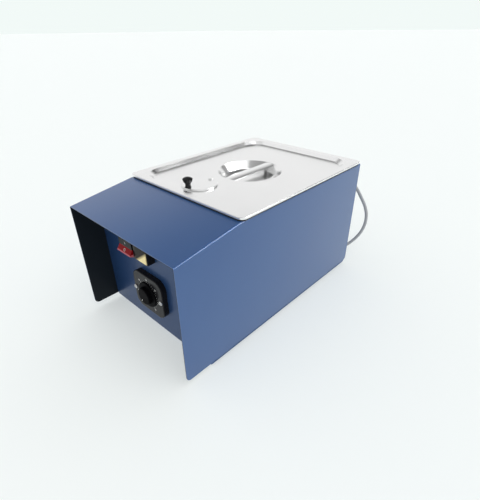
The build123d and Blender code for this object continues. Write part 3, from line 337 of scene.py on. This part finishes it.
# Tank, shelf, lid, handle and hole cover: stainless sheet, drawn and then brushed along its length.
steel = Finish("stainless", Metallic=1.0)
strokes = steel.noise(1.0, 4, 0.6, steel.stretched(1400, 18, 1400))
smears = steel.noise(14, 3)
steel.feed(
    Base_Color=steel.mix(strokes, (0.84, 0.845, 0.85), (0.92, 0.92, 0.915)),
    Roughness=(strokes * 0.08 + smears * 0.10) + 0.12,
    Normal=steel.bump(strokes, 0.00003, 0.22),
)
steel.coat("tank", "tank_shelf", "lid", "lid_handle", "hole_cover", "cover_pivot")

# Zinc-plated small steel: screws, nuts, pillars and clips. The brackets in the cover caught its blue paint.
zinc = Finish("zinc_plate", Metallic=1.0)
zinc.feed(Base_Color=zinc.mix(zinc.noise(300, 3), (0.55, 0.56, 0.58), (0.70, 0.70, 0.68)),
          Roughness=zinc.noise(220, 2).ramp(0.3, 0.7, 0.25, 0.42),
          Normal=zinc.bump(zinc.noise(1500, 2), 0.00003, 0.3))
zinc.coat("base_screws", "rear_screws", "carrier_plate", "carrier_pillars", "pillar_base_screws",
          "pillar_top_screws", "grip_screw", "plate_screws", "plate_nuts", "thermostat_shaft",
          "thermostat_screws", "bulb_clip", "terminal_screws", "earth_stud", "plug_pins")

bracket_steel = Finish("bracket_zinc", Metallic=0.6, Roughness=0.5)
blotches = bracket_steel.noise(90, 3)
bracket_steel.feed(Base_Color=bracket_steel.mix(blotches, (0.030, 0.060, 0.140), (0.045, 0.080, 0.170)),
                   Normal=bracket_steel.bump(bracket_steel.noise(700, 2), 0.00005, 0.3))
bracket_steel.coat("cover_brackets")

# Black mouldings: thermostat plate, switch frame, grip and the housings behind the panel. They are glossy,
# so their fronts pick up the pale table while their tops stay black. The knob is matt and blacker.
black = Finish("black_moulding", Specular_Ior_Level=0.14)
black.feed(Base_Color=black.mix(black.noise(60, 3), (0.008, 0.008, 0.009), (0.016, 0.016, 0.018)),
           Roughness=black.noise(35, 3).ramp(0.3, 0.7, 0.10, 0.22),
           Normal=black.bump(black.noise(1300, 2), 0.00004, 0.25))
black.coat("thermostat_plate", "thermostat", "thermal_cutout", "switch_frame", "switch_body", "lamp_body",
           "relief_nut", "hole_cover_grip")
matt = Finish("knob_black", Specular_Ior_Level=0.02)
matt.feed(Base_Color=matt.mix(matt.noise(80, 3), (0.002, 0.002, 0.0025), (0.005, 0.005, 0.006)),
          Roughness=matt.noise(50, 3).ramp(0.3, 0.7, 0.35, 0.50),
          Normal=matt.bump(matt.noise(1500, 2), 0.00004, 0.3))
matt.coat("thermostat_knob")

# Scale printed in white on the thermostat's plate: a tick every 10 degrees of turn, numbers on every fifth.
# The knob has an inlaid white pointer, which stands at the scale's start when the bath is off.
ink = Finish("white_ink", Roughness=0.5)
ink.feed(Base_Color=ink.mix(ink.noise(700, 3), (0.62, 0.62, 0.60), (0.80, 0.80, 0.78)))
knob_middle = Vector((-0.0025, -0.1830, 0.0750))
rightward, skyward = Vector((1, 0, 0)), Vector((0, 0, 1))


def flat_mark(name, corners, faces, body):
    """A thin printed or inlaid white mark, from its outline points."""
    data = bpy.data.meshes.new(name)
    data.from_pydata([tuple(c) for c in corners], [], faces)
    mark = bpy.data.objects.new(name, data)
    scene.collection.objects.link(mark)
    mark.data.materials.append(ink.material)
    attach(mark, body)


def dial_point(angle, radius, out):
    """A place on the dial: angle clockwise from the top, seen from the front."""
    return knob_middle + Vector((radius * sin(angle), -out, radius * cos(angle)))


def radial_bars(angles, start, end, width, out):
    """Corners and faces of short bars that point at the dial's middle."""
    corners, faces = [], []
    for angle in angles:
        side = Vector((cos(angle), 0, -sin(angle))) * (width / 2)
        inner, outer = dial_point(angle, start, out), dial_point(angle, end, out)
        faces.append(tuple(range(len(corners), len(corners) + 4)))
        corners += [inner - side, outer - side, outer + side, inner + side]
    return corners, faces


def printed_word(name, word, size, middle, standing, body):
    """A printed sign, made mesh. It reads from left to right, and its letters stand along a direction."""
    letters = bpy.data.curves.new(name, "FONT")
    letters.body, letters.size = word, size
    letters.align_x, letters.align_y = "CENTER", "CENTER"
    letters.resolution_u = 3
    holder = bpy.data.objects.new(name + "_curve", letters)
    scene.collection.objects.link(holder)
    flat = bpy.data.meshes.new_from_object(holder)
    bpy.data.objects.remove(holder)
    corners = [middle + rightward * v.co.x + standing * v.co.y for v in flat.vertices]
    faces = [tuple(p.vertices) for p in flat.polygons]
    bpy.data.meshes.remove(flat)
    flat_mark(name, corners, faces, body)


sweep_start = radians(-150)
tick_degrees, tick_count, numbered = 10, 31, 5
scale_start, scale_step = 30, 10
tick_angles = [sweep_start + radians(tick_degrees * i) for i in range(tick_count)]
print_lift = 0.00006
ticks_from, long_ticks_to, short_ticks_to, numbers_at = 0.0230, 0.0252, 0.0242, 0.0280
long_tick_width, short_tick_width, number_size = 0.0006, 0.00035, 0.0042
long_ticks = radial_bars(tick_angles[::numbered], ticks_from, long_ticks_to, long_tick_width, print_lift)
flat_mark("scale_long_ticks", *long_ticks, "case")
short_angles = [angle for i, angle in enumerate(tick_angles) if i % numbered]
short_ticks = radial_bars(short_angles, ticks_from, short_ticks_to, short_tick_width, print_lift)
flat_mark("scale_short_ticks", *short_ticks, "case")
for i, angle in enumerate(tick_angles[::numbered]):
    printed_word(f"scale_number_{i}", str(scale_start + scale_step * i), number_size,
                 dial_point(angle, numbers_at, print_lift), skyward, "case")
knob_gap, knob_length, skirt_thickness = 0.0004, 0.0090, 0.0025
pointer_from, pointer_to, pointer_width = 0.0085, 0.0130, 0.0009
mark_from, mark_to, mark_width = 0.0170, 0.0208, 0.0010
knob_face = knob_gap + knob_length + print_lift
pointer = radial_bars([sweep_start], pointer_from, pointer_to, pointer_width, knob_face)
flat_mark("knob_pointer", *pointer, "knob_body")
skirt_face = knob_gap + skirt_thickness + print_lift
mark = radial_bars([sweep_start], mark_from, mark_to, mark_width, skirt_face)
flat_mark("skirt_mark", *mark, "knob_body")

# Rubber seal under the tank's rim, and the stick-on feet.
rubber = Finish("black_rubber", Roughness=0.75)
rubber.feed(Base_Color=rubber.mix(rubber.noise(120, 3), (0.014, 0.014, 0.015), (0.030, 0.030, 0.030)),
            Normal=rubber.bump(rubber.noise(1100, 2), 0.0001, 0.3))
rubber.coat("tank_gasket", "feet")

# Rocker: glossy red. The half that is in is painted near-black as painted shade under the hood, and the half
# that stands out has a painted highlight, pale pink, along its lower lip. Its two filled signs are a bar and
# a ring.
red = Finish("red_rocker", Roughness=0.16, Specular_Ior_Level=0.08, Coat_Roughness=0.05)
_, _, rocker_z = red.axes()
colour_split, lip_bottom, lip_top = 0.1512, 0.1428, 0.1444
# Painted shade on the upper half, and a painted highlight with a little coat along the lower lip.
shaded_upper_half = rocker_z > colour_split
lip_highlight = rocker_z.ramp(lip_bottom, lip_top, 1, 0)
deep_red = red.mix(red.noise(50, 2), (0.21, 0.003, 0.006), (0.28, 0.005, 0.010))
red.feed(Base_Color=red.mix(shaded_upper_half, red.mix(lip_highlight, deep_red, (0.62, 0.16, 0.19)), (0.003, 0.003, 0.004)),
         Coat_Weight=lip_highlight * 0.5,
         Normal=red.bump(red.noise(700, 2), 0.00003, 0.2))
red.coat("power_rocker")
rocker_axis = Vector((-0.038, -0.185, 0.1515))
web = Vector((0, -0.00291, -0.00073))
lower_lip = Vector((0, -0.00836, -0.00929))
upper_lip = Vector((0, -0.00302, 0.01213))
sign_size = 0.0062
for name, sign, low, high in (("sign_on", "I", web, upper_lip), ("sign_off", "O", lower_lip, web)):
    slope = (high - low).normalized()
    lift = rightward.cross(slope) * print_lift
    printed_word(name, sign, sign_size, rocker_axis + (low + high) / 2 + lift, slope, "rocker_body")

# Pilot lamp: an amber lens with painted light: a pale painted highlight at its lower right corner and dark
# painted shade above it.
amber = Finish("amber_lens", Roughness=0.14, Specular_Ior_Level=0.08)
lens_x, _, lens_z = amber.axes()
pale_x, pale_z, fade_across, fade_up = 0.0030, 0.1480, 40, 55
# Painted highlight towards the lower right corner, painted shade above and left of it.
painted_lens_light = ((lens_x - pale_x) * fade_across - (lens_z - pale_z) * fade_up).ramp(-0.22, 0.14)
ribs = amber.node("ShaderNodeTexWave", {"wave_type": "BANDS", "bands_direction": "X"},
                  {"Vector": amber.place, "Scale": 130.0})
amber.feed(Base_Color=amber.mix(painted_lens_light, (0.010, 0.007, 0.004), (0.95, 0.80, 0.42)),
           Normal=amber.bump(ribs, 0.0001, 0.3))
amber.coat("lamp_lens")

# Felt insulation, silicone heating mat, copper bulb and tube, white terminal block.
felt = Finish("felt", Roughness=0.95)
felt.feed(Base_Color=felt.mix(felt.noise(260, 4), (0.50, 0.47, 0.40), (0.66, 0.63, 0.56)),
          Normal=felt.bump(felt.noise(600, 4), 0.0008, 0.6))
felt.coat("insulation_board", "insulation_band")
silicone = Finish("mat_silicone", Roughness=0.6)
silicone.feed(Base_Color=silicone.mix(silicone.noise(160, 2), (0.36, 0.055, 0.025), (0.42, 0.070, 0.032)),
              Normal=silicone.bump(silicone.noise(900, 2), 0.0001, 0.3))
silicone.coat("heater_mat")
copper = Finish("copper", Metallic=1.0)
copper.feed(Base_Color=copper.mix(copper.noise(120, 3), (0.72, 0.34, 0.20), (0.55, 0.26, 0.15)),
            Roughness=copper.noise(90, 2).ramp(0.3, 0.7, 0.28, 0.42))
copper.coat("sensing_bulb", "capillary")
ceramic = Finish("white_plastic", Roughness=0.4)
ceramic.feed(Base_Color=ceramic.mix(ceramic.noise(90, 2), (0.70, 0.70, 0.66), (0.76, 0.76, 0.72)),
             Normal=ceramic.bump(ceramic.noise(900, 2), 0.00005, 0.2))
ceramic.coat("terminal_block")

low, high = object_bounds()
